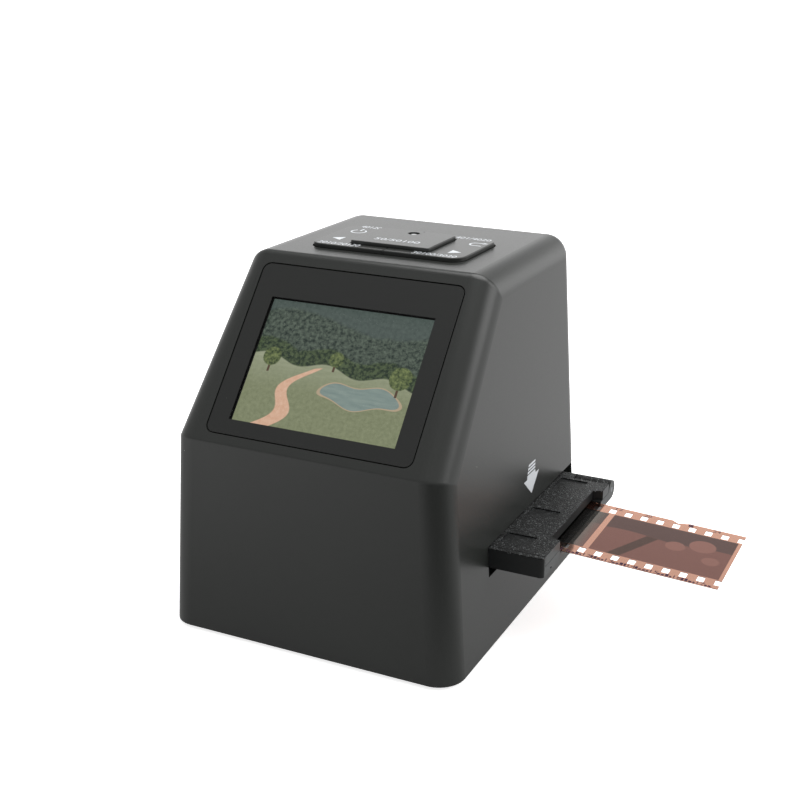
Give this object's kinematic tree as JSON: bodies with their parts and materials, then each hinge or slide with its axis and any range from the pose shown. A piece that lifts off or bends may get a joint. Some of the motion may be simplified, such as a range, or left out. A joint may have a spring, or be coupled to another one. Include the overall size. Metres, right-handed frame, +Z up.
{
  "type": "film negative scanner",
  "caption": "Desktop film negative scanner with a sloping screen, a key pad on top, and a hinged film holder with its strip of film that slides through the body over a light box.",
  "frame": {"origin": "centre of the footprint on the table that the rubber feet stand on", "axes": "+X to the right, where the film holder comes out, +Y to the back, +Z up; the screen slopes towards -Y"},
  "size_m": [0.152, 0.1, 0.1042],
  "materials": {
    "shell": "matte",
    "key": "satin",
    "holder": "fine texture",
    "inner": "matte",
    "white": "matte",
    "window": "polished",
    "panel": "polished",
    "foot": "matte",
    "film": "polished",
    "steel": "bright",
    "board": "satin",
    "clear": "polished",
    "ribbon": "satin"
  },
  "bodies": {
    "scanner_body": {"housing": "shell", "base_cover": "shell", "rubber_feet": "foot", "base_screws": "steel", "screen_window": "window", "lcd_gasket": "foot", "lcd_panel": "panel", "lcd_bracket": "steel", "key_frame": "inner", "key_board": "board", "tact_switches": "inner", "light_pipe": "clear", "film_gate": "inner", "holder_spring": "steel", "gate_screws": "steel", "light_box": "white", "lamp_board": "board", "diffuser": "white", "lens_tower": "inner", "sensor_board": "board", "image_sensor": "panel", "lens_mount": "inner", "lens_barrel": "inner", "main_board": "board", "processor": "inner", "card_socket": "steel", "usb_socket": "steel", "screen_cable": "ribbon", "sensor_cable": "ribbon", "board_screws": "steel"},
    "film_holder": {"holder_base": "holder", "holder_lid": "holder", "hinge_pin": "steel"},
    "film": {"film_strip": "film"},
    "ok_button": {"ok_key": "key"},
    "left_button": {"left_rocker": "key"},
    "right_button": {"right_rocker": "key"}
  },
  "joints": [
    {"name": "holder_slide", "type": "slide", "parent": "scanner_body", "child": "film_holder", "axis": [1, 0, 0], "range_m": [0, 0.08]},
    {"name": "film_slide", "type": "slide", "parent": "film_holder", "child": "film", "axis": [1, 0, 0], "range_m": [0, 0.038]},
    {"name": "ok_press", "type": "slide", "parent": "scanner_body", "child": "ok_button", "axis": [0, 0, -1], "range_m": [0, 0.0005], "stiffness_N_per_m": 1500},
    {"name": "left_rock", "type": "hinge", "parent": "scanner_body", "child": "left_button", "pos_m": [-0.0169, 0.01135, 0.1002], "axis": [1, 0, 0], "range_deg": [-1.5, 1.5], "stiffness_Nm_per_rad": 0.2},
    {"name": "right_rock", "type": "hinge", "parent": "scanner_body", "child": "right_button", "pos_m": [0.0169, 0.01135, 0.1002], "axis": [1, 0, 0], "range_deg": [-1.5, 1.5], "stiffness_Nm_per_rad": 0.2}
  ]
}
